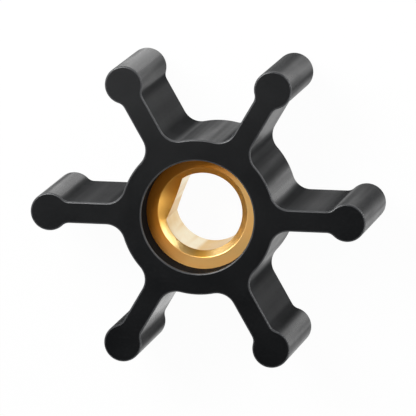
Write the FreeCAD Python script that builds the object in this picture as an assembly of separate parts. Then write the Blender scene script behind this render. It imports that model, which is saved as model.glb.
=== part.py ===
import FreeCAD, Part
import math
import os

# Flexible impeller of a small self-priming pump, in millimetres.
# A rubber hub with straight, bulb-ended blades is moulded round a turned brass insert,
# which takes the drive from a shaft with one flat.
# The axis of rotation is Z. The impeller lies on its back face at Z = 0, and one blade
# points along +X. Both ends are alike.

# Drive shaft that the insert fits
shaft_diameter = 9.525
shaft_flat_distance = 3.9
shaft_flat_angle = 159.0
shaft_clearance = 0.0125

# Brass insert
insert_wall = 2.85
bore_chamfer = 0.75
insert_edge_chamfer = 0.3
serration_count = 24
serration_depth = 0.4

# Rubber hub
impeller_width = 15.3
recess_depth = 3.4
insert_lap = 0.7
hub_wall = 1.92

# Rubber blades
blade_count = 6
tip_diameter = 41.3
bulb_diameter = 4.65
blade_thickness = 2.65
root_fillet_radius = 2.3
neck_fillet_radius = 1.25

# Small slope that breaks every moulded edge on the two end faces
edge_break = 0.2

# Sizes that follow from the ones above
bore_radius = shaft_diameter / 2 + shaft_clearance
bore_flat_distance = shaft_flat_distance + shaft_clearance
insert_radius = bore_radius + insert_wall
insert_length = impeller_width - 2 * recess_depth
recess_radius = insert_radius - insert_lap
hub_radius = insert_radius + hub_wall
tip_radius = tip_diameter / 2
bulb_radius = bulb_diameter / 2
bulb_centre_radius = tip_radius - bulb_radius
blade_pitch = 360.0 / blade_count

axis = FreeCAD.Vector(0, 0, 1)
origin = FreeCAD.Vector(0, 0, 0)

# Closest that an edge comes to a plane and still counts as lying in it
in_plane = 1e-6


def polar(radius, degrees, height=0.0):
    """Point at a radius and an angle from +X round the axis."""
    turn = math.radians(degrees)
    return FreeCAD.Vector(radius * math.cos(turn), radius * math.sin(turn), height)


def line(start, end):
    """Straight edge between two points."""
    return Part.LineSegment(start, end).toShape()


def arc(start, middle, end):
    """Circular edge through three points."""
    return Part.Arc(start, middle, end).toShape()


def arc_middle(arc_centre, start, end):
    """Point halfway along the shorter arc from start to end."""
    radius = (start - arc_centre).Length
    halfway = (start - arc_centre) + (end - arc_centre)
    return arc_centre + halfway.normalize() * radius


def flank_points():
    """One side of the blade along +X, from the hub out to the bulb, in order.

    The root fillet touches the hub's circle and the blade's flat flank, and the neck
    fillet touches the flank and the bulb's circle.
    """
    half = blade_thickness / 2
    root_height = half + root_fillet_radius
    root_reach = math.sqrt((hub_radius + root_fillet_radius) ** 2 - root_height ** 2)
    root_centre = FreeCAD.Vector(root_reach, root_height, 0)
    hub_end = root_centre * (hub_radius / (hub_radius + root_fillet_radius))
    flank_start = FreeCAD.Vector(root_reach, half, 0)

    bulb_centre = FreeCAD.Vector(bulb_centre_radius, 0, 0)
    neck_height = half + neck_fillet_radius
    neck_reach = math.sqrt((bulb_radius + neck_fillet_radius) ** 2 - neck_height ** 2)
    neck_centre = FreeCAD.Vector(bulb_centre_radius - neck_reach, neck_height, 0)
    flank_end = FreeCAD.Vector(neck_centre.x, half, 0)
    bulb_share = bulb_radius / (bulb_radius + neck_fillet_radius)
    bulb_end = bulb_centre + (neck_centre - bulb_centre) * bulb_share

    return [
        hub_end,
        arc_middle(root_centre, hub_end, flank_start),
        flank_start,
        flank_end,
        arc_middle(neck_centre, flank_end, bulb_end),
        bulb_end,
    ]


def impeller_outline():
    """Closed outline of the hub and all the blades in the plane of the back face."""
    left = flank_points()
    right = [FreeCAD.Vector(point.x, -point.y, 0) for point in left]
    tip = FreeCAD.Vector(tip_radius, 0, 0)
    edges = []
    for blade in range(blade_count):
        turn = FreeCAD.Rotation(axis, blade * blade_pitch)
        next_turn = FreeCAD.Rotation(axis, (blade + 1) * blade_pitch)
        out = [turn.multVec(point) for point in right]
        back = [turn.multVec(point) for point in reversed(left)]
        hub_middle = polar(hub_radius, (blade + 0.5) * blade_pitch)
        edges += [
            arc(out[0], out[1], out[2]),
            line(out[2], out[3]),
            arc(out[3], out[4], out[5]),
            arc(out[5], turn.multVec(tip), back[0]),
            arc(back[0], back[1], back[2]),
            line(back[2], back[3]),
            arc(back[3], back[4], back[5]),
            arc(back[5], hub_middle, next_turn.multVec(right[0])),
        ]
    return Part.Wire(edges)


def edges_on_end_faces(solid):
    """Edges that lie flat in the back face or the front face."""
    found = []
    for edge in solid.Edges:
        box = edge.BoundBox
        flat = box.ZLength < in_plane
        at_end = min(abs(box.ZMin), abs(box.ZMin - impeller_width)) < in_plane
        if flat and at_end:
            found.append(edge)
    return found


def serrated_outline():
    """Outline of the insert's outside: straight V grooves as wide as the round lands between them."""
    pitch = 360.0 / serration_count
    half_land = pitch / 4
    valley_radius = insert_radius - serration_depth
    edges = []
    for tooth in range(serration_count):
        middle = tooth * pitch
        land_start = polar(insert_radius, middle - half_land)
        land_end = polar(insert_radius, middle + half_land)
        valley = polar(valley_radius, middle + pitch / 2)
        next_land = polar(insert_radius, middle + pitch - half_land)
        edges.append(arc(land_start, polar(insert_radius, middle), land_end))
        edges.append(line(land_end, valley))
        edges.append(line(valley, next_land))
    return Part.Wire(edges)


def make_insert_blank():
    """Serrated insert with chamfered ends and no bore, where it sits in the hub."""
    prism = Part.Face(serrated_outline()).extrude(axis * insert_length)
    end_radius = insert_radius - insert_edge_chamfer
    chamfered_profile = Part.makePolygon([
        origin,
        FreeCAD.Vector(end_radius, 0, 0),
        FreeCAD.Vector(insert_radius, 0, insert_edge_chamfer),
        FreeCAD.Vector(insert_radius, 0, insert_length - insert_edge_chamfer),
        FreeCAD.Vector(end_radius, 0, insert_length),
        FreeCAD.Vector(0, 0, insert_length),
        origin,
    ])
    envelope = Part.Face(chamfered_profile).revolve(origin, axis, 360)
    blank = prism.common(envelope)
    blank.translate(axis * recess_depth)
    return blank


def make_bore():
    """Space of the D-shaped bore: a round hole less the part behind the flat."""
    half_angle = math.degrees(math.acos(bore_flat_distance / bore_radius))
    flat_start = polar(bore_radius, shaft_flat_angle - half_angle)
    flat_end = polar(bore_radius, shaft_flat_angle + half_angle)
    far_side = polar(bore_radius, shaft_flat_angle + 180)
    outline = Part.Wire([arc(flat_end, far_side, flat_start), line(flat_start, flat_end)])
    return Part.Face(outline).extrude(axis * impeller_width)


def make_countersinks():
    """Two right-angled cones at the insert's ends, which break the bore's edge and the flat's."""
    mouth_radius = bore_radius + bore_chamfer
    cone_depth = mouth_radius
    front_end = recess_depth + insert_length
    front = Part.makeCone(mouth_radius, 0, cone_depth, axis * front_end, axis * -1)
    back = Part.makeCone(mouth_radius, 0, cone_depth, axis * recess_depth, axis)
    return front, back


def make_brass_insert(blank):
    """Turned brass insert with its serrated outside and its D-shaped bore."""
    front, back = make_countersinks()
    return blank.cut(make_bore()).cut(front).cut(back)


def make_rubber_impeller(blank):
    """Hub and blades in one moulding, open at both ends of the hub as far as the insert."""
    body = Part.Face(impeller_outline()).extrude(axis * impeller_width)
    opening = Part.makeCylinder(recess_radius, impeller_width)
    sleeve = body.cut(opening)
    softened = sleeve.makeChamfer(edge_break, edges_on_end_faces(sleeve))
    return softened.cut(blank)


def main():
    os.makedirs("parts", exist_ok=True)
    blank = make_insert_blank()
    parts = {
        "rubber_impeller": make_rubber_impeller(blank),
        "brass_insert": make_brass_insert(blank),
    }
    for name, shape in parts.items():
        shape.exportStep("parts/" + name + ".step")


main()
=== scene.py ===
"""Flexible pump impeller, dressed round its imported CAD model.

A black rubber hub with six straight, bulb-ended blades is moulded round a turned brass
insert with a D-shaped bore. The impeller lies on its back face on a white floor.
Sizes in the classes are in millimetres, and each finished mesh is scaled to metres.
"""

import logging
import math
from dataclasses import dataclass, field
from enum import Enum

import bmesh
import bpy
from mathutils import Matrix, Vector


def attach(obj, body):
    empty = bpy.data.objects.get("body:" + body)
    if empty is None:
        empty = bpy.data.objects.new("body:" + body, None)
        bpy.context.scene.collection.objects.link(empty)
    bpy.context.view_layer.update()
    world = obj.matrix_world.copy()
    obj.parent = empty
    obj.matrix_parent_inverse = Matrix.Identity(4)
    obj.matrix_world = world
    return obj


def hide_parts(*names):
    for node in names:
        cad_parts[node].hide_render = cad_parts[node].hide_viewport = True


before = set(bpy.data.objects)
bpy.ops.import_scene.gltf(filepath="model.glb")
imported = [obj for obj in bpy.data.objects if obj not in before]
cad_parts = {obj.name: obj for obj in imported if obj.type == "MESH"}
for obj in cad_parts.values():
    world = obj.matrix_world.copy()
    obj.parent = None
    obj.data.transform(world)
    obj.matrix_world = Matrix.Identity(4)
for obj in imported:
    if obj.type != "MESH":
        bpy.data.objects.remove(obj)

LOG = logging.getLogger("impeller")

MILLIMETRE = 0.001
Z_AXIS = Vector((0.0, 0.0, 1.0))
CENTRE = Vector((0.0, 0.0, 0.0))

# Distance in millimetres below which two places count as one
TOUCHING = 1e-4

# A face whose normal rises by less than this is part of a wall
UPRIGHT = 0.3

# Share of a spot's reach within which the spot shows in full
SPOT_CORE = 0.3

BMesh = bmesh.types.BMesh
Vert = bmesh.types.BMVert
Edge = bmesh.types.BMEdge
Face = bmesh.types.BMFace
Socket = bpy.types.NodeSocket
Place = tuple[float, float, float]
Colour = tuple[float, float, float]
Opaque = tuple[float, float, float, float]

# What a node's input takes: another node's output, a value, or None to keep what it has
Feed = Socket | Vector | Place | Opaque | float | None


class Body(Enum):
    """CAD bodies that a piece may ride on."""

    ROOT = "root"


class Slot(Enum):
    """Material slots of the record."""

    RUBBER = "rubber"
    BRASS = "brass"


class Node(Enum):
    """CAD nodes that a dressed piece stands for."""

    RUBBER_IMPELLER = "rubber_impeller"
    BRASS_INSERT = "brass_insert"


class RubberSurface(Enum):
    """Surfaces of the moulding, by the number of their material."""

    WALL = 0
    END_FACE = 1
    EDGE = 2
    RECESS = 3


class BrassSurface(Enum):
    """Surfaces of the insert, by the number of their material."""

    END_FACE = 0
    BORE = 1
    COUNTERSINK = 2


def polar(radius: float, degrees: float, height: float = 0.0) -> Vector:
    """Finds a point round the axis.

    Args:
        radius: Distance from the axis.
        degrees: Angle from +X towards +Y.
        height: Height over the back face.

    Returns:
        The point.
    """
    turn = math.radians(degrees)
    return Vector((radius * math.cos(turn), radius * math.sin(turn), height))


def radius_of(vert: Vert) -> float:
    """Returns a vertex's distance from the axis."""
    return math.hypot(vert.co.x, vert.co.y)


def only(kind: type, geometry: list) -> list:
    """Returns the items of one bmesh kind from an operator's result."""
    return [item for item in geometry if isinstance(item, kind)]


def everything(bm: BMesh) -> list:
    """Returns a mesh's vertices, edges and faces."""
    return bm.verts[:] + bm.edges[:] + bm.faces[:]


def lies_at(item: Edge | Face, height: float) -> bool:
    """Returns whether an edge or a face lies flat at a height."""
    return all(abs(vert.co.z - height) < TOUCHING for vert in item.verts)


def is_sharp(edge: Edge, degrees: float) -> bool:
    """Returns whether an edge's two faces turn by more than an angle."""
    return edge.calc_face_angle(0.0) > math.radians(degrees)


def run_to(bm: BMesh, vert: Vert, place: Vector) -> Vert:
    """Draws a straight edge on from a vertex.

    Args:
        bm: Mesh that is being built.
        vert: Vertex that the edge starts from.
        place: Where the edge ends.

    Returns:
        The vertex at the edge's end.
    """
    drawn = bmesh.ops.extrude_vert_indiv(bm, verts=[vert])
    end = drawn["verts"][0]
    end.co = place
    return end


def run_round(bm: BMesh, vert: Vert, centre: Vector, degrees: float, steps: int) -> Vert:
    """Draws an arc of edges on from a vertex, parallel to the back face.

    Args:
        bm: Mesh that is being built.
        vert: Vertex that the arc starts from.
        centre: Centre of the arc.
        degrees: Turn of the arc, counter-clockwise where it is positive.
        steps: Number of edges in the arc.

    Returns:
        The vertex at the arc's end.
    """
    spun = bmesh.ops.spin(
        bm,
        geom=[vert],
        cent=centre,
        axis=Z_AXIS,
        angle=math.radians(degrees),
        steps=steps,
        use_merge=False,
        use_duplicate=False,
    )
    return only(Vert, spun["geom_last"])[0]


def repeat_round(bm: BMesh, count: int) -> None:
    """Copies the whole mesh round the axis and welds the copies.

    Args:
        bm: Mesh that holds one part of the pattern.
        count: Number of parts in the full turn.
    """
    bmesh.ops.spin(
        bm,
        geom=everything(bm),
        cent=CENTRE,
        axis=Z_AXIS,
        angle=math.tau * (count - 1) / count,
        steps=count - 1,
        use_merge=False,
        use_duplicate=True,
    )
    bmesh.ops.remove_doubles(bm, verts=bm.verts[:], dist=TOUCHING)


def extrude_loop(bm: BMesh, edges: list[Edge], height: float) -> list[Edge]:
    """Extrudes a loop of edges along the axis.

    Args:
        bm: Mesh that is being built.
        edges: The loop.
        height: Height over the back face that the new loop gets.

    Returns:
        The edges of the new loop.
    """
    drawn = bmesh.ops.extrude_edge_only(bm, edges=edges)["geom"]
    for vert in only(Vert, drawn):
        vert.co.z = height
    return [edge for edge in only(Edge, drawn) if lies_at(edge, height)]


def edges_at(bm: BMesh, height: float, low: float, high: float) -> list[Edge]:
    """Finds open edges that lie flat at one height between two radii.

    Args:
        bm: Mesh to look in.
        height: Height over the back face.
        low: Smallest radius of an edge's ends.
        high: Largest radius of an edge's ends.

    Returns:
        The edges that have fewer than two faces there.
    """
    return [
        edge
        for edge in bm.edges
        if len(edge.link_faces) < 2
        and lies_at(edge, height)
        and all(low < radius_of(vert) < high for vert in edge.verts)
    ]


def faces_within(bm: BMesh, radius: float, low: float, high: float) -> list[Face]:
    """Finds faces near the axis by how far their normals rise.

    Args:
        bm: Mesh to look in.
        radius: Radius that the middles of the faces stay within.
        low: Least rise of a normal, 0 on a wall.
        high: Rise that the normals stay below, 1 on an end face.

    Returns:
        The faces.
    """
    return [
        face
        for face in bm.faces
        if low <= abs(face.normal.z) < high and face.calc_center_median().xy.length < radius
    ]


def soften(bm: BMesh, edges: list[Edge], width: float, steps: int) -> list[Face]:
    """Rounds edges over.

    Args:
        bm: Closed mesh.
        edges: Edges that are sharp.
        width: Distance from an edge at which its round starts.
        steps: Number of faces across a round.

    Returns:
        The faces of the rounds.
    """
    rounded = bmesh.ops.bevel(
        bm,
        geom=edges,
        offset=width,
        offset_type="OFFSET",
        segments=steps,
        profile=0.5,
        affect="EDGES",
        clamp_overlap=False,
        material=-1,
    )
    return rounded["faces"]


def dress(faces: list[Face], surface: Enum) -> None:
    """Gives faces the material of a surface."""
    for face in faces:
        face.material_index = surface.value


def shown(name: str, data: bpy.types.ID) -> bpy.types.Object:
    """Adds an object to the scene.

    Args:
        name: Name of the object.
        data: Its mesh, lamp or camera.

    Returns:
        The object, at the origin.
    """
    item = bpy.data.objects.new(name, data)
    bpy.context.scene.collection.objects.link(item)
    return item


def finished_piece(
    bm: BMesh, name: str, materials: list[bpy.types.Material], crease_degrees: float
) -> bpy.types.Object:
    """Turns a bmesh in millimetres into a shown object in metres at the origin.

    Args:
        bm: Mesh in millimetres, which is freed.
        name: Name of the piece.
        materials: Finishes of the piece's surfaces, in the order of their numbers.
        crease_degrees: Edges that turn by more than this stay sharp.

    Returns:
        The linked object.
    """
    bmesh.ops.recalc_face_normals(bm, faces=bm.faces[:])
    for face in bm.faces:
        face.smooth = True
    for edge in bm.edges:
        edge.smooth = edge.calc_face_angle(0.0) < math.radians(crease_degrees)
    bmesh.ops.scale(bm, vec=Vector((MILLIMETRE,) * 3), verts=bm.verts[:])
    mesh = bpy.data.meshes.new(name)
    bm.to_mesh(mesh)
    bm.free()
    for material in materials:
        mesh.materials.append(material)
    piece = shown(name, mesh)
    shading = piece.modifiers.new("flat_faces_stay_flat", "WEIGHTED_NORMAL")
    shading.mode = "FACE_AREA"
    shading.keep_sharp = True
    return piece


def opaque(colour: Colour, factor: float = 1.0) -> Opaque:
    """Returns a colour with its alpha, made lighter or darker by a factor."""
    return (*[factor * channel for channel in colour], 1.0)


def grey(value: float) -> Opaque:
    """Returns a grey as a colour with its alpha."""
    return (value, value, value, 1.0)


@dataclass(frozen=True)
class Patches:
    """Noise pattern, and the values between which it goes from nothing to full."""

    per_millimetre: float
    detail: float
    low: float
    high: float


@dataclass(frozen=True)
class Spot:
    """Round spot seen along the axis, and what it adds to a finish at its middle."""

    x: float
    y: float
    reach: float
    change: float


@dataclass(frozen=True)
class Zone:
    """Part of a wall, and the distances from the axis over which it takes over."""

    start: float
    full: float
    roughness: float


class Nodes:
    """Small helper that lays out the nodes of one material."""

    def __init__(self, name: str) -> None:
        """Makes an empty material with its output node.

        Args:
            name: Name of the material.
        """
        self.material = bpy.data.materials.new(name)
        self.material.use_nodes = True
        self.tree = self.material.node_tree
        self.tree.nodes.clear()
        self.output = self.add("ShaderNodeOutputMaterial")

    def add(
        self, kind: str, settings: dict[str, object] | None = None, **inputs: Feed
    ) -> bpy.types.Node:
        """Adds a node.

        Args:
            kind: Blender's type name of the node.
            settings: Properties of the node itself.
            inputs: Sockets by name, with _ for a space, and what each one takes.

        Returns:
            The node.
        """
        node = self.tree.nodes.new(kind)
        for key, value in (settings or {}).items():
            setattr(node, key, value)
        for key, value in inputs.items():
            self.feed(node.inputs[key.replace("_", " ")], value)
        return node

    def feed(self, socket: Socket, value: Feed) -> None:
        """Links an input to an output, or sets its value.

        Args:
            socket: Input of a node.
            value: The output or the value.
        """
        if isinstance(value, Socket):
            self.tree.links.new(value, socket)
        elif value is not None:
            socket.default_value = value

    def fed(self, kind: str, settings: dict[str, object], *values: Feed) -> bpy.types.Node:
        """Adds a node and feeds its first inputs in their order.

        Args:
            kind: Blender's type name of the node.
            settings: Properties of the node itself.
            values: What the inputs take.

        Returns:
            The node.
        """
        node = self.add(kind, settings)
        for socket, value in zip(node.inputs, values):
            self.feed(socket, value)
        return node

    def math(self, operation: str, *values: Feed) -> Socket:
        """Returns the result of one of Blender's Math operations."""
        return self.fed("ShaderNodeMath", {"operation": operation}, *values).outputs[0]

    def blend(self, share: Feed, low: Feed, high: Feed) -> Socket:
        """Returns a mix of two numbers, the low one where the share is 0."""
        mix = self.fed("ShaderNodeMix", {"data_type": "FLOAT"}, share, None, low, high)
        return mix.outputs[0]

    def tint(self, share: Feed, low: Feed, high: Feed) -> Socket:
        """Returns a mix of two colours, the low one where the share is 0."""
        mix = self.fed("ShaderNodeMix", {"data_type": "RGBA"}, share, *[None] * 5, low, high)
        return mix.outputs[2]

    def spread(self, value: Feed, low: float, high: float) -> Socket:
        """Returns a value stretched so that low becomes 0 and high 1, and held between them."""
        node = self.fed("ShaderNodeMapRange", {"clamp": True}, value, low, high, 0.0, 1.0)
        return node.outputs[0]

    def place(self) -> Socket:
        """Reads where a point lies on the piece.

        Returns:
            The point, in millimetres from the piece's origin.
        """
        metres = self.add("ShaderNodeTexCoord").outputs["Object"]
        scale = {"operation": "SCALE"}
        point = self.add("ShaderNodeVectorMath", scale, Vector=metres, Scale=1.0 / MILLIMETRE)
        return point.outputs[0]

    def along(self, place: Socket, direction: Vector) -> Socket:
        """Returns how far a point or a normal reaches in a direction that is one unit long."""
        reach = self.fed("ShaderNodeVectorMath", {"operation": "DOT_PRODUCT"}, place, direction)
        return reach.outputs["Value"]

    def from_line(self, place: Socket, x: float, y: float) -> Socket:
        """Measures how far a point is from a line along Z.

        Args:
            place: Socket with the point.
            x: Where the line stands along X.
            y: Where the line stands along Y.

        Returns:
            The distance, in the point's own unit.
        """
        parts = self.add("ShaderNodeSeparateXYZ", Vector=place).outputs
        flat = self.add("ShaderNodeCombineXYZ", X=parts[0], Y=parts[1]).outputs[0]
        apart = self.fed("ShaderNodeVectorMath", {"operation": "DISTANCE"}, flat, (x, y, 0.0))
        return apart.outputs["Value"]

    def from_axis(self, place: Socket) -> Socket:
        """Returns a point's distance from the axis, in the point's own unit."""
        return self.from_line(place, 0.0, 0.0)

    def noise(self, place: Socket, per_millimetre: float, detail: float) -> Socket:
        """Returns a noise texture's value at a point, about 0.5 in the middle."""
        texture = self.add(
            "ShaderNodeTexNoise", Vector=place, Scale=per_millimetre, Detail=detail
        )
        return texture.outputs[0]

    def patches(self, place: Socket, pattern: Patches) -> Socket:
        """Returns how much a patch shows at a point in millimetres, from 0 to 1."""
        noise = self.noise(place, pattern.per_millimetre, pattern.detail)
        return self.spread(noise, pattern.low, pattern.high)

    def drawn_out(self, place: Socket, share: float, shift: Place = (0.0, 0.0, 0.0)) -> Socket:
        """Returns the point at which to read a pattern that is drawn out along the axis."""
        mapping = self.add(
            "ShaderNodeMapping", Vector=place, Location=shift, Scale=(1.0, 1.0, share)
        )
        return mapping.outputs[0]

    def spotted(self, value: Feed, place: Socket, spots: tuple[Spot, ...]) -> Feed:
        """Raises or lowers a value towards the middles of some spots.

        Args:
            value: Number or socket.
            place: Socket with the point in millimetres.
            spots: The spots.

        Returns:
            The value with the changes of the spots in it.
        """
        for spot in spots:
            apart = self.from_line(place, spot.x, spot.y)
            near = self.spread(apart, spot.reach, SPOT_CORE * spot.reach)
            value = self.math("MULTIPLY_ADD", near, spot.change, value)
        return value

    def bump(self, height: Socket, depth: float) -> Socket:
        """Returns the normal of a surface with a pattern, whose depth is in metres."""
        node = self.add("ShaderNodeBump", Strength=1.0, Distance=depth, Height=height)
        return node.outputs[0]

    def finished(self, shader: bpy.types.Node) -> bpy.types.Material:
        """Shows a shader on the surface and returns the material."""
        self.feed(self.output.inputs["Surface"], shader.outputs[0])
        return self.material


@dataclass(frozen=True)
class MouldedRubber:
    """Black nitrile rubber with a fine grain, cloudy gloss and a thin bloom."""

    name: str = "rubber_end_face"
    # Painted shade: the end faces get a darker copy of the rubber's colour than the walls
    colour: Colour = (0.0018, 0.0021, 0.0026)
    cloud_lightness: float = 1.25
    bloom_colour: Colour = (0.045, 0.046, 0.048)
    bloom_share: float = 0.010
    roughness: float = 0.35
    cloud_roughness: float = 0.06
    speck_roughness: float = 0.05
    polish: float = 0.04
    specular_level: float = 0.38
    sheen_weight: float = 0.008
    sheen_roughness: float = 0.35
    clouds: Patches = Patches(0.16, 3.0, 0.34, 0.66)
    specks: Patches = Patches(3.2, 4.0, 0.48, 0.72)
    grain_depth: float = 2.5e-6
    grain_per_millimetre: float = 9.0
    grain_detail: float = 5.0
    spots: tuple[Spot, ...] = ()

    def gloss(self, nodes: Nodes, place: Socket) -> Feed:
        """Returns the roughness before its clouds and specks."""
        return nodes.spotted(self.roughness, place, self.spots)

    def material(self) -> bpy.types.Material:
        """Builds the material.

        Returns:
            The material, patterned on Object coordinates.
        """
        nodes = Nodes(self.name)
        place = nodes.place()
        cloud = nodes.patches(place, self.clouds)
        speck = nodes.patches(place, self.specks)
        grain = nodes.noise(place, self.grain_per_millimetre, self.grain_detail)

        cloudy = opaque(self.colour, self.cloud_lightness)
        plain = nodes.tint(cloud, opaque(self.colour), cloudy)
        bloom = nodes.math("MULTIPLY", speck, self.bloom_share)
        dusted = nodes.tint(bloom, plain, opaque(self.bloom_colour))

        gloss = self.gloss(nodes, place)
        roughness = nodes.math("MULTIPLY_ADD", cloud, self.cloud_roughness, gloss)
        roughness = nodes.math("SUBTRACT", roughness, self.polish)
        roughness = nodes.math("MULTIPLY_ADD", speck, self.speck_roughness, roughness)

        shader = nodes.add(
            "ShaderNodeBsdfPrincipled",
            Base_Color=dusted,
            Roughness=roughness,
            Normal=nodes.bump(grain, self.grain_depth),
            IOR=1.5,
            Specular_IOR_Level=self.specular_level,
            Sheen_Weight=self.sheen_weight,
            Sheen_Roughness=self.sheen_roughness,
        )
        return nodes.finished(shader)


@dataclass(frozen=True)
class RubbedEdgeWithPaintedHighlight(MouldedRubber):
    """Rounded edges of the moulding, which rubbing has polished except at one spot, in a
    lighter colour that paints in their highlight lines.
    """

    name: str = "rubber_edge"
    # Painted highlight: a lighter colour than the rest of the rubber brightens the thin light
    # lines along the rounds
    colour: Colour = (0.030, 0.031, 0.033)
    roughness: float = 0.34
    specular_level: float = 0.5
    grain_depth: float = 0.5e-6
    spots: tuple[Spot, ...] = (Spot(-9.30, -13.30, 3.6, 0.6),)


@dataclass(frozen=True)
class RecessWall(MouldedRubber):
    """Matt wall of the two recesses, which nothing has rubbed, in a darker colour than the
    other walls as painted shade.
    """

    name: str = "rubber_recess"
    # Painted shade: the recess walls get a darker colour than the other walls
    colour: Colour = (0.0040, 0.0042, 0.0046)
    roughness: float = 0.90
    specular_level: float = 0.06


@dataclass(frozen=True)
class MouldedWall(MouldedRubber):
    """Walls of the hub and the blades, matt in the corners and glossier on the bulbs, and
    lighter in colour than the end faces as painted light.

    Their spots are bands along the axis that have been rubbed glossier, or left duller.
    """

    name: str = "rubber_wall"
    # Painted light: the walls get a lighter copy of the rubber's colour than the end faces, and
    # a larger share of dust specks lightens them further
    colour: Colour = (0.013, 0.0135, 0.0143)
    bloom_share: float = 0.08
    specular_level: float = 0.14
    hub_roughness: float = 0.54
    root: Zone = Zone(9.6, 10.2, 0.98)
    flank: Zone = Zone(10.7, 11.6, 0.72)
    neck: Zone = Zone(15.4, 16.1, 0.98)
    bulb: Zone = Zone(16.3, 17.1, 0.46)
    wiped_roughness: float = 0.28
    wiped_degrees: float = -40.0
    wiped_start: float = 0.72
    wiped_full: float = 0.96
    wiped_share: float = 0.8
    streak_depth: float = 1.4
    web_streak_share: float = 0.2
    streak_place: Place = (506.9, 292.3, 0.0)
    streaks_per_millimetre: float = 0.45
    scratch_depth: float = 0.04
    scratches_per_millimetre: float = 2.6
    streak_detail: float = 2.0
    drawn_share: float = 0.03
    spots: tuple[Spot, ...] = (
        Spot(8.97, 3.26, 1.8, -0.36),
        Spot(11.07, 17.20, 1.8, -0.28),
        Spot(-7.06, -14.89, 1.3, -0.30),
        Spot(11.20, -14.75, 1.6, -0.24),
        Spot(-16.02, 0.40, 2.2, 0.16),
        Spot(19.49, 2.01, 2.0, 0.14),
        Spot(-6.84, -16.10, 1.4, 0.30),
        Spot(11.49, 15.40, 1.6, 0.55),
        Spot(-9.90, -13.30, 2.2, 0.50),
        Spot(9.76, -13.62, 1.5, 0.20),
        Spot(-5.40, -12.00, 3.0, -0.78),
        Spot(-8.68, 18.14, 2.2, -0.16),
        Spot(-17.42, 2.14, 1.3, -0.18),
        Spot(-18.60, 2.30, 1.2, 0.18),
        Spot(7.72, 5.61, 1.6, 0.16),
        Spot(-1.41, 9.44, 2.0, 0.12),
        Spot(14.07, 1.33, 2.2, -0.12),
        Spot(20.40, 1.10, 1.4, -0.12),
        Spot(-6.95, 16.85, 0.9, 0.13),
        Spot(11.49, -15.95, 1.0, 0.12),
    )

    def gloss(self, nodes: Nodes, place: Socket) -> Feed:
        """Lays out the roughness from the hub out to the bulbs.

        Args:
            nodes: Node helper of the material.
            place: Point on the piece in millimetres.

        Returns:
            The roughness, streaked along the axis, and lower on the side wiped clean.
        """
        radius = nodes.from_axis(place)
        shares = {}
        wall = self.hub_roughness
        for zone in (self.root, self.flank, self.neck, self.bulb):
            shares[zone] = nodes.spread(radius, zone.start, zone.full)
            wall = nodes.blend(shares[zone], wall, zone.roughness)

        drawn_out = nodes.drawn_out(place, self.drawn_share, self.streak_place)
        streak = nodes.noise(drawn_out, self.streaks_per_millimetre, self.streak_detail)
        scratch = nodes.noise(drawn_out, self.scratches_per_millimetre, self.streak_detail)
        web_depth = self.web_streak_share * self.streak_depth
        on_web = nodes.math("SUBTRACT", shares[self.flank], shares[self.bulb])
        depth = nodes.blend(on_web, self.streak_depth, web_depth)
        centred = nodes.math("SUBTRACT", streak, 0.5)
        wall = nodes.math("MULTIPLY_ADD", centred, depth, wall)
        half = self.scratch_depth / 2
        scratched = nodes.math("MULTIPLY_ADD", scratch, self.scratch_depth, -half)
        wall = nodes.math("ADD", wall, scratched)
        wall = nodes.spotted(wall, place, self.spots)

        normal = nodes.add("ShaderNodeTexCoord").outputs["Normal"]
        facing = nodes.along(normal, polar(1.0, self.wiped_degrees))
        wiped = nodes.spread(facing, self.wiped_start, self.wiped_full)
        smooth = nodes.math("MULTIPLY", wiped, self.wiped_share)
        return nodes.blend(smooth, wall, self.wiped_roughness)


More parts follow.
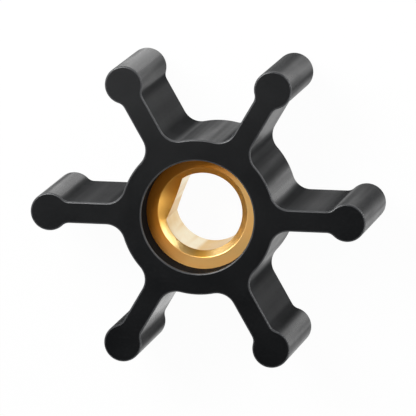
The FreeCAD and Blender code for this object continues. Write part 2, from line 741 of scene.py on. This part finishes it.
@dataclass(frozen=True)
class TurnedBrass:
    """Bare brass with the lathe's marks round the axis.

    Its darker colour shows in random tarnished patches, and as painted shade on one side of the
    axis and at its spot.
    """

    name: str = "brass_turned"
    colour: Colour = (0.94, 0.58, 0.21)
    # Darker colour, for tarnished patches and for painted shade
    dull_and_shade_colour: Colour = (0.86, 0.28, 0.01)
    dull_share: float = 0.20
    # Painted shade: the darker colour grows towards this side round the axis, where the recess
    # wall shades the turned face
    shade_degrees: float = 160.0
    shade_start: float = -0.3
    shade_full: float = 0.8
    shaded_side_share: float = 0.85
    roughness: float = 0.48
    cloud_roughness: float = 0.07
    mark_roughness: float = 0.10
    clouds: Patches = Patches(0.35, 3.0, 0.36, 0.68)
    mark_depth: float = 1.6e-6
    marks_per_millimetre: float = 9.0
    mark_detail: float = 4.0
    middle_height: float = 7.65
    # Painted shade: this spot darkens the turned face towards +Y
    spots: tuple[Spot, ...] = (Spot(1.92, 5.90, 4.2, 0.45),)

    def marks(self, nodes: Nodes, place: Socket) -> Socket:
        """Lays out the tool's marks.

        Args:
            nodes: Node helper of the material.
            place: Point on the piece in millimetres.

        Returns:
            The height of the marks, the same all the way round the axis.
        """
        height = nodes.add("ShaderNodeSeparateXYZ", Vector=place).outputs[2]
        over_middle = nodes.math("SUBTRACT", height, self.middle_height)
        from_middle = nodes.math("ABSOLUTE", over_middle)
        turned = nodes.math("ADD", nodes.from_axis(place), from_middle)
        rings = nodes.add(
            "ShaderNodeTexNoise",
            {"noise_dimensions": "1D"},
            W=turned,
            Scale=self.marks_per_millimetre,
            Detail=self.mark_detail,
        )
        return rings.outputs[0]

    def dull_and_shade_share(self, nodes: Nodes, place: Socket) -> Socket:
        """Lays out how much of the darker colour shows as painted shade on one side.

        Args:
            nodes: Node helper of the material.
            place: Point on the piece in millimetres.

        Returns:
            The share, which grows towards that side.
        """
        side = nodes.along(place, polar(1.0, self.shade_degrees))
        across = nodes.math("DIVIDE", side, nodes.from_axis(place))
        painted_shade = nodes.spread(across, self.shade_start, self.shade_full)
        return nodes.math("MULTIPLY", painted_shade, self.shaded_side_share)

    def material(self) -> bpy.types.Material:
        """Builds the material.

        Returns:
            The material, patterned on Object coordinates.
        """
        nodes = Nodes(self.name)
        place = nodes.place()
        marks = self.marks(nodes, place)
        cloud = nodes.patches(place, self.clouds)

        # Share of the darker colour: random tarnished patches, painted shade on one side of the
        # turned face and the countersinks, and the spots
        dull_and_shade = nodes.math("MULTIPLY", cloud, self.dull_share)
        dull_and_shade = nodes.math("MAXIMUM", dull_and_shade, self.dull_and_shade_share(nodes, place))
        dull_and_shade = nodes.spotted(dull_and_shade, place, self.spots)
        colour = nodes.tint(dull_and_shade, opaque(self.colour), opaque(self.dull_and_shade_colour))

        roughness = nodes.math("MULTIPLY_ADD", cloud, self.cloud_roughness, self.roughness)
        half = self.mark_roughness / 2
        marked = nodes.math("MULTIPLY_ADD", marks, self.mark_roughness, -half)
        roughness = nodes.math("ADD", roughness, marked)

        shader = nodes.add(
            "ShaderNodeBsdfPrincipled",
            Base_Color=colour,
            Metallic=1.0,
            Roughness=roughness,
            Normal=nodes.bump(marks, self.mark_depth),
        )
        return nodes.finished(shader)


@dataclass(frozen=True)
class BroachedBrass(TurnedBrass):
    """Brass of the bore, with the broach's strokes along the axis, in a paler colour than the
    turned face as a painted reflection.
    """

    name: str = "brass_broached"
    # Painted reflection: the bore's pale colour stands in for the white that it reflects
    colour: Colour = (0.98, 0.86, 0.60)
    dull_and_shade_colour: Colour = (0.80, 0.50, 0.13)
    roughness: float = 0.30
    stroke_share: float = 0.02
    broad_stroke_share: float = 0.05
    broad_strokes: Patches = Patches(0.6, 1.0, 0.42, 0.62)
    # These spots make the bore darker towards -Y and towards -X, and lighter towards the flat's
    # +Y end
    spots: tuple[Spot, ...] = (
        Spot(0.52, -4.75, 1.6, 1.1),
        Spot(-4.55, -1.30, 1.9, 0.5),
        Spot(-2.86, 3.45, 2.6, -0.7),
    )

    def marks(self, nodes: Nodes, place: Socket) -> Socket:
        """Returns the height of the strokes, drawn out along the axis."""
        drawn_out = nodes.drawn_out(place, self.stroke_share)
        return nodes.noise(drawn_out, self.marks_per_millimetre, self.mark_detail)

    def dull_and_shade_share(self, nodes: Nodes, place: Socket) -> Socket:
        """Returns how much of the darker colour shows, in broad strokes along the axis."""
        drawn_out = nodes.drawn_out(place, self.broad_stroke_share)
        return nodes.patches(drawn_out, self.broad_strokes)


@dataclass(frozen=True)
class CutBrass(TurnedBrass):
    """Bright cut brass of the countersinks, paler than the turned face, partly as a painted
    highlight.
    """

    name: str = "brass_countersink"
    # Painted highlight, in part: the pale colour whitens the lamp's reflection
    colour: Colour = (0.98, 0.70, 0.30)
    dull_and_shade_colour: Colour = (0.95, 0.46, 0.04)
    # Painted shade on the side that the recess wall shades, as on the turned face
    shaded_side_share: float = 0.7
    roughness: float = 0.33
    # Painted highlight: the first spot lightens the countersink towards -X and -Y; painted
    # shade: the other two darken it towards -Y and towards +X +Y
    spots: tuple[Spot, ...] = (
        Spot(-4.10, -3.12, 2.2, -0.7),
        Spot(-0.30, -5.15, 1.8, 0.65),
        Spot(2.57, 4.46, 4.2, 0.4),
    )


@dataclass(frozen=True)
class WhitePaper:
    """White floor that looks white, also in reflections, and keeps a soft shadow."""

    white_share: float = 0.97
    dark_grey: float = 0.90
    light_grey: float = 0.93
    grain_per_millimetre: float = 0.8
    grain_detail: float = 3.0

    def material(self) -> bpy.types.Material:
        """Builds the material.

        Returns:
            Diffuse white, mostly replaced by plain white where the eye or a gloss looks at it.
        """
        nodes = Nodes("white_paper")
        rays = nodes.add("ShaderNodeLightPath").outputs
        seen = nodes.math("MAXIMUM", rays["Is Camera Ray"], rays["Is Glossy Ray"])
        seen = nodes.math("MAXIMUM", seen, rays["Is Transmission Ray"])
        share = nodes.math("MULTIPLY", seen, self.white_share)
        grain = nodes.noise(nodes.place(), self.grain_per_millimetre, self.grain_detail)
        tone = nodes.tint(grain, grey(self.dark_grey), grey(self.light_grey))
        paper = nodes.add("ShaderNodeBsdfDiffuse", Color=tone)
        white = nodes.add("ShaderNodeEmission", Color=grey(1.0), Strength=1.0)
        mix = nodes.fed("ShaderNodeMixShader", {}, share, paper.outputs[0], white.outputs[0])
        return nodes.finished(mix)


@dataclass
class Serration:
    """Straight V grooves round the insert, which key the brass into the rubber."""

    count: int = 24
    depth: float = 0.4
    outer_radius: float = 7.625
    end_chamfer: float = 0.3
    back_height: float = 3.4
    front_height: float = 11.9
    land_steps: int = 2
    weld_reach: float = 0.001

    @property
    def pitch(self) -> float:
        """Angle from one groove to the next, in degrees."""
        return 360.0 / self.count

    @property
    def valley_radius(self) -> float:
        """Radius of the grooves' bottoms."""
        return self.outer_radius - self.depth

    @property
    def end_radius(self) -> float:
        """Radius of the lands on the insert's end faces."""
        return self.outer_radius - self.end_chamfer

    def flank_crossing(self) -> Vector:
        """Finds where a groove's straight flank meets the small end of the chamfer.

        Returns:
            The point beside the first land, on its counter-clockwise side.
        """
        valley = polar(self.valley_radius, self.pitch / 2)
        step = polar(self.outer_radius, self.pitch / 4) - valley
        reach = valley.dot(step)
        rest = valley.length_squared - self.end_radius**2
        root = math.sqrt(reach**2 - step.length_squared * rest)
        return valley + step * ((root - reach) / step.length_squared)

    def draw(self, bm: BMesh) -> None:
        """Draws the serrated wall with its chamfered ends, open at both ends.

        Args:
            bm: Empty mesh.
        """
        crossing = self.flank_crossing()
        mirrored = Vector((crossing.x, -crossing.y, 0.0))
        start = bm.verts.new(polar(self.valley_radius, -self.pitch / 2))
        flank = run_to(bm, start, mirrored)
        land = run_to(bm, flank, polar(self.outer_radius, -self.pitch / 4))
        land = run_round(bm, land, CENTRE, self.pitch / 2, self.land_steps)
        flank = run_to(bm, land, crossing)
        run_to(bm, flank, polar(self.valley_radius, self.pitch / 2))
        repeat_round(bm, self.count)

        for vert in bm.verts:
            vert.co.z = self.back_height + self.end_chamfer
        lower = bm.edges[:]
        upper = extrude_loop(bm, lower, self.front_height - self.end_chamfer)
        for loop, height in ((lower, self.back_height), (upper, self.front_height)):
            self.narrow(bm, extrude_loop(bm, loop, height))

    def narrow(self, bm: BMesh, loop: list[Edge]) -> None:
        """Draws the lands of an end loop in to the chamfer's small end and welds them.

        Args:
            bm: Mesh that is being built.
            loop: Edges of the end loop.
        """
        verts = list(dict.fromkeys(vert for edge in loop for vert in edge.verts))
        crossing = self.flank_crossing()
        reach = math.degrees(math.atan2(crossing.y, crossing.x))
        for vert in verts:
            if radius_of(vert) < self.outer_radius - TOUCHING:
                continue
            degrees = math.degrees(math.atan2(vert.co.y, vert.co.x))
            middle = round(degrees / self.pitch) * self.pitch
            share = (degrees - middle) / (self.pitch / 4)
            vert.co = polar(self.end_radius, middle + share * reach, vert.co.z)
        bmesh.ops.remove_doubles(bm, verts=verts, dist=self.weld_reach)

    def add_to(self, bm: BMesh) -> None:
        """Draws the serrated wall by itself and adds it to a mesh.

        Args:
            bm: Mesh that gets the wall.
        """
        wall = bmesh.new()
        self.draw(wall)
        carrier = bpy.data.meshes.new("serration")
        wall.to_mesh(carrier)
        wall.free()
        bm.from_mesh(carrier)
        bpy.data.meshes.remove(carrier)


@dataclass
class RubberImpeller:
    """Hub and blades in one moulding, with a recess at each end and the insert's seat."""

    name: str = "rubber_impeller_moulding"
    width: float = 15.3
    tip_radius: float = 20.65
    hub_radius: float = 9.545
    recess_radius: float = 6.925
    blade_count: int = 6
    blade_thickness: float = 2.65
    bulb_radius: float = 2.325
    root_fillet: float = 2.3
    neck_fillet: float = 1.25
    edge_round: float = 0.2
    sharp_degrees: float = 60.0
    crease_degrees: float = 40.0
    bulb_steps: int = 30
    neck_steps: int = 8
    root_steps: int = 10
    hub_steps: int = 6
    recess_steps: int = 16
    round_steps: int = 4
    seat: Serration = field(default_factory=Serration)
    finishes: tuple[MouldedRubber, ...] = (
        MouldedWall(),
        MouldedRubber(),
        RubbedEdgeWithPaintedHighlight(),
        RecessWall(),
    )

    def draw_half_blade(self, bm: BMesh) -> None:
        """Draws the end face from the first blade's middle to halfway to the next blade.

        Args:
            bm: Empty mesh.
        """
        half = self.blade_thickness / 2
        bulb = Vector((self.tip_radius - self.bulb_radius, 0.0, 0.0))
        neck_reach = self.bulb_radius + self.neck_fillet
        neck_turn = math.degrees(math.asin((half + self.neck_fillet) / neck_reach))
        root_reach = self.hub_radius + self.root_fillet
        root_turn = math.degrees(math.asin((half + self.root_fillet) / root_reach))
        neck = bulb + polar(neck_reach, 180.0 - neck_turn)
        root = polar(root_reach, root_turn)
        sector = 180.0 / self.blade_count

        tip = bm.verts.new((self.tip_radius, 0.0, 0.0))
        end = run_round(bm, tip, bulb, 180.0 - neck_turn, self.bulb_steps)
        end = run_round(bm, end, neck, neck_turn - 90.0, self.neck_steps)
        end = run_to(bm, end, Vector((root.x, half, 0.0)))
        end = run_round(bm, end, root, root_turn - 90.0, self.root_steps)
        end = run_round(bm, end, CENTRE, sector - root_turn, self.hub_steps)
        end = run_to(bm, end, polar(self.recess_radius, sector))
        end = run_round(bm, end, CENTRE, -sector, self.recess_steps)
        bm.edges.new((end, tip))
        bmesh.ops.contextual_create(bm, geom=bm.edges[:])

    def draw_body(self, bm: BMesh) -> None:
        """Mirrors the half blade, repeats it round the hub and raises it to the full width.

        Args:
            bm: Empty mesh.
        """
        self.draw_half_blade(bm)
        half, plane = everything(bm), Matrix.Identity(4)
        bmesh.ops.mirror(bm, geom=half, matrix=plane, merge_dist=TOUCHING, axis="Y")
        repeat_round(bm, self.blade_count)
        bmesh.ops.recalc_face_normals(bm, faces=bm.faces[:])
        raised = bmesh.ops.extrude_face_region(bm, geom=bm.faces[:], use_keep_orig=True)
        verts = only(Vert, raised["geom"])
        bmesh.ops.translate(bm, verts=verts, vec=Z_AXIS * self.width)
        inner = [
            face
            for face in bm.faces
            if all(abs(radius_of(vert) - self.recess_radius) < TOUCHING for vert in face.verts)
            and abs(face.normal.z) < UPRIGHT
        ]
        bmesh.ops.delete(bm, geom=inner, context="FACES")

    def line_hub(self, bm: BMesh) -> None:
        """Adds the walls of both recesses and the seat that grips the insert.

        Args:
            bm: Mesh with the body in it.
        """
        low, high = self.recess_radius - TOUCHING, self.recess_radius + TOUCHING
        self.seat.add_to(bm)
        for face_height, seat_height in (
            (0.0, self.seat.back_height),
            (self.width, self.seat.front_height),
        ):
            rim = edges_at(bm, face_height, low, high)
            foot = extrude_loop(bm, rim, seat_height)
            mouth = edges_at(bm, seat_height, high, self.seat.outer_radius)
            bmesh.ops.triangle_fill(bm, edges=foot + mouth, normal=Z_AXIS, use_beauty=True)

    def round_edges(self, bm: BMesh) -> list[Face]:
        """Rounds every moulded edge on the two end faces.

        Args:
            bm: Closed mesh of the moulding.

        Returns:
            The faces of the rounds.
        """
        edges = [
            edge
            for edge in bm.edges
            if is_sharp(edge, self.sharp_degrees)
            and (lies_at(edge, 0.0) or lies_at(edge, self.width))
        ]
        return soften(bm, edges, self.edge_round, self.round_steps)

    def build(self) -> bpy.types.Object:
        """Builds and dresses the moulding.

        Returns:
            The piece, which rides on the root body and stands for the rubber node.
        """
        bm = bmesh.new()
        self.draw_body(bm)
        self.line_hub(bm)
        bmesh.ops.recalc_face_normals(bm, faces=bm.faces[:])
        recess = faces_within(bm, self.recess_radius + TOUCHING, 0.0, UPRIGHT)
        dress(recess, RubberSurface.RECESS)
        rounds = self.round_edges(bm)
        ends = [face for face in bm.faces if lies_at(face, 0.0) or lies_at(face, self.width)]
        dress(ends, RubberSurface.END_FACE)
        dress(rounds, RubberSurface.EDGE)
        materials = [finish.material() for finish in self.finishes]
        piece = finished_piece(bm, self.name, materials, self.crease_degrees)
        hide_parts(Node.RUBBER_IMPELLER.value)
        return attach(piece, Body.ROOT.value)


@dataclass
class BrassInsert:
    """Turned insert with a serrated outside, a D-shaped bore and two countersinks."""

    name: str = "brass_insert_turned"
    bore_radius: float = 4.775
    flat_distance: float = 3.9125
    flat_degrees: float = 159.0
    bore_chamfer: float = 0.75
    cone_floor_radius: float = 3.6
    edge_break: float = 0.05
    sharp_degrees: float = 30.0
    crease_degrees: float = 8.0
    wall_rise: float = 0.1
    end_rise: float = 0.99
    bore_steps: int = 192
    cone_steps: int = 40
    break_steps: int = 2
    outside: Serration = field(default_factory=Serration)
    finishes: tuple[TurnedBrass, ...] = (TurnedBrass(), BroachedBrass(), CutBrass())

    @property
    def mouth_radius(self) -> float:
        """Radius of the countersink's mouth."""
        return self.bore_radius + self.bore_chamfer

    @property
    def flat_normal(self) -> Vector:
        """Direction from the axis to the flat."""
        return polar(1.0, self.flat_degrees)

    def past_flat(self, place: Vector) -> float:
        """Returns how far a place lies beyond the flat's plane."""
        return place.dot(self.flat_normal) - self.flat_distance

    def spin_line(
        self, bm: BMesh, first: tuple[float, float], last: tuple[float, float], steps: int
    ) -> None:
        """Spins a straight line round the axis, its turn centred on the flat.

        Args:
            bm: Mesh that is being built.
            first: Radius and height of the line's start.
            last: Radius and height of its end.
            steps: Steps of the bore's division that the spin covers.
        """
        turn = steps * (360.0 / self.bore_steps)
        begin = self.flat_degrees - turn / 2
        start = bm.verts.new(polar(first[0], begin, first[1]))
        end = run_to(bm, start, polar(last[0], begin, last[1]))
        bmesh.ops.spin(
            bm,
            geom=[start, end, *start.link_edges],
            cent=CENTRE,
            axis=Z_AXIS,
            angle=math.radians(turn),
            steps=steps,
            use_merge=steps == self.bore_steps,
            use_duplicate=False,
        )

    def draw_bore(self, bm: BMesh) -> None:
        """Draws the round bore, its countersinks, and the cones that the flat runs into.

        Args:
            bm: Empty mesh.
        """
        wall, mouth, floor = self.bore_radius, self.mouth_radius, self.cone_floor_radius
        back, front = self.outside.back_height, self.outside.front_height
        low, high = back + self.bore_chamfer, front - self.bore_chamfer
        drop = wall - floor
        for first, last, steps in (
            ((mouth, front), (wall, high), self.bore_steps),
            ((wall, low), (mouth, back), self.bore_steps),
            ((wall, high), (wall, low), self.bore_steps),
            ((wall, high), (floor, high - drop), self.cone_steps),
            ((wall, low), (floor, low + drop), self.cone_steps),
        ):
            self.spin_line(bm, first, last, steps)
        bmesh.ops.remove_doubles(bm, verts=bm.verts[:], dist=TOUCHING)

    def cut_flat(self, bm: BMesh) -> None:
        """Cuts the drive flat into the bore and closes it.

        Args:
            bm: Mesh of the bore with its countersinks and cones.
        """
        inner = [
            face
            for face in bm.faces
            if all(radius_of(vert) < self.bore_radius + TOUCHING for vert in face.verts)
        ]
        parts = [item for face in inner for item in (face, *face.edges, *face.verts)]
        bmesh.ops.bisect_plane(
            bm,
            geom=list(dict.fromkeys(parts)),
            dist=TOUCHING,
            plane_co=self.flat_normal * self.flat_distance,
            plane_no=self.flat_normal,
            clear_inner=False,
            clear_outer=False,
        )
        spare = [face for face in bm.faces if self.is_spare(face)]
        bmesh.ops.delete(bm, geom=spare, context="FACES")
        outline = [
            edge
            for edge in bm.edges
            if len(edge.link_faces) == 1
            and all(abs(self.past_flat(vert.co)) < 2 * TOUCHING for vert in edge.verts)
        ]
        bmesh.ops.contextual_create(bm, geom=outline)

    def is_spare(self, face: Face) -> bool:
        """Tells whether a face lies on the side of the flat where it isn't needed.

        Args:
            face: Face of the bore.

        Returns:
            True for bore wall beyond the flat and for cone on the axis's side of it.
        """
        if any(radius_of(vert) > self.bore_radius + TOUCHING for vert in face.verts):
            return False
        beyond = self.past_flat(face.calc_center_median()) > 0.0
        return beyond if abs(face.normal.z) < UPRIGHT else not beyond

    def break_edges(self, bm: BMesh) -> None:
        """Takes the sharpness off the countersinks' and the bore's edges.

        Args:
            bm: Closed mesh of the insert.
        """
        edges = [
            edge
            for edge in bm.edges
            if is_sharp(edge, self.sharp_degrees)
            and all(radius_of(vert) < self.mouth_radius + TOUCHING for vert in edge.verts)
        ]
        soften(bm, edges, self.edge_break, self.break_steps)

    def build(self) -> bpy.types.Object:
        """Builds and dresses the insert.

        Returns:
            The piece, which rides on the root body and stands for the brass node.
        """
        bm = bmesh.new()
        self.draw_bore(bm)
        self.cut_flat(bm)
        self.outside.add_to(bm)
        edge_radius = self.mouth_radius + TOUCHING
        for height in (self.outside.back_height, self.outside.front_height):
            mouth = edges_at(bm, height, self.bore_radius, edge_radius)
            rim = edges_at(bm, height, edge_radius, self.outside.outer_radius)
            bmesh.ops.bridge_loops(bm, edges=mouth + rim)
        bmesh.ops.recalc_face_normals(bm, faces=bm.faces[:])
        self.break_edges(bm)
        bore = faces_within(bm, self.bore_radius + TOUCHING, 0.0, self.wall_rise)
        cones = faces_within(bm, self.mouth_radius, self.wall_rise, self.end_rise)
        dress(bore, BrassSurface.BORE)
        dress(cones, BrassSurface.COUNTERSINK)
        materials = [finish.material() for finish in self.finishes]
        piece = finished_piece(bm, self.name, materials, self.crease_degrees)
        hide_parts(Node.BRASS_INSERT.value)
        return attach(piece, Body.ROOT.value)


@dataclass(frozen=True)
class SoftLamp:
    """One rectangular soft lamp that points at the part."""

    name: str
    azimuth: float
    elevation: float
    distance: float
    width: float
    height: float
    power: float
    aim: Place = (0.0, 0.0, 8.0)

    def build(self) -> None:
        """Makes the lamp and points it at its aim."""
        data = bpy.data.lights.new(self.name, "AREA")
        data.shape = "RECTANGLE"
        data.size = self.width * MILLIMETRE
        data.size_y = self.height * MILLIMETRE
        data.energy = self.power
        lamp = shown(self.name, data)
        flat = math.cos(math.radians(self.elevation)) * self.distance
        rise = math.sin(math.radians(self.elevation)) * self.distance
        aim = Vector(self.aim)
        place = aim + polar(flat, self.azimuth, rise)
        lamp.location = place * MILLIMETRE
        lamp.rotation_euler = (place - aim).to_track_quat("Z", "Y").to_euler()


@dataclass
class Studio:
    """White floor, white surroundings, soft lamps and the photograph's camera."""

    floor_side: float = 6000.0
    zenith: float = 0.05
    bright_below: float = 0.15
    dark_above: float = 0.65
    lens: float = 572.56
    sensor: float = 36.0
    clip_metres: tuple[float, float] = (0.01, 20.0)
    camera_place: Place = (148.764, 142.019, 788.639)
    camera_turn: Place = (-10.0841, 10.8461, 0.2979)
    paper: WhitePaper = field(default_factory=WhitePaper)
    lamps: tuple[SoftLamp, ...] = (
        SoftLamp("key_lamp", 130.0, 51.5, 120.0, 60.0, 60.0, 0.140),
        SoftLamp("top_lamp", 150.0, 76.0, 110.0, 40.0, 40.0, 0.0024),
        SoftLamp("rim_lamp", 30.0, 19.0, 300.0, 240.0, 45.0, 0.38),
        SoftLamp("low_lamp", -25.0, 21.0, 300.0, 100.0, 100.0, 0.18),
        SoftLamp("cross_lamp", 133.0, 24.0, 300.0, 140.0, 35.0, 0.23),
    )

    def build_floor(self) -> None:
        """Lays the floor, which isn't part of the object, in the plane of the back face."""
        bm = bmesh.new()
        reach = self.floor_side / 2 * MILLIMETRE
        bmesh.ops.create_grid(bm, x_segments=1, y_segments=1, size=reach)
        mesh = bpy.data.meshes.new("floor")
        bm.to_mesh(mesh)
        bm.free()
        mesh.materials.append(self.paper.material())
        floor = shown("floor", mesh)

    def build_world(self) -> None:
        """Makes the surroundings, white at the horizon and darker overhead."""
        world = bpy.data.worlds.new("studio")
        bpy.context.scene.world = world
        world.use_nodes = True
        tree = world.node_tree
        tree.nodes.clear()
        direction = tree.nodes.new("ShaderNodeTexCoord")
        split = tree.nodes.new("ShaderNodeSeparateXYZ")
        ramp = tree.nodes.new("ShaderNodeValToRGB")
        background = tree.nodes.new("ShaderNodeBackground")
        output = tree.nodes.new("ShaderNodeOutputWorld")
        for source, target in (
            (direction.outputs["Generated"], split.inputs[0]),
            (split.outputs[2], ramp.inputs[0]),
            (ramp.outputs[0], background.inputs[0]),
            (background.outputs[0], output.inputs[0]),
        ):
            tree.links.new(source, target)
        horizon, overhead = ramp.color_ramp.elements
        horizon.position, horizon.color = self.bright_below, grey(1.0)
        overhead.position, overhead.color = self.dark_above, grey(self.zenith)

    def build_camera(self) -> None:
        """Places the scene's camera where the photograph was taken from."""
        data = bpy.data.cameras.new("camera")
        data.lens = self.lens
        data.sensor_width = self.sensor
        data.clip_start, data.clip_end = self.clip_metres
        camera = shown("camera", data)
        camera.location = Vector(self.camera_place) * MILLIMETRE
        camera.rotation_euler = [math.radians(turn) for turn in self.camera_turn]
        bpy.context.scene.camera = camera

    def build(self) -> None:
        """Makes the whole setting."""
        self.build_floor()
        self.build_world()
        for lamp in self.lamps:
            lamp.build()
        self.build_camera()
        bpy.context.scene.view_settings.view_transform = "Standard"


def main() -> None:
    """Builds the pieces in order round the frame, then the studio."""
    logging.basicConfig(level=logging.INFO, format="%(name)s: %(message)s")
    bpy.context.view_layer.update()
    for part in (RubberImpeller(), BrassInsert()):
        piece = part.build()
        faces, edges = len(piece.data.polygons), len(piece.data.edges)
        LOG.info("%s: %d faces, %d edges", piece.name, faces, edges)
    Studio().build()


if __name__ == "__main__":
    main()
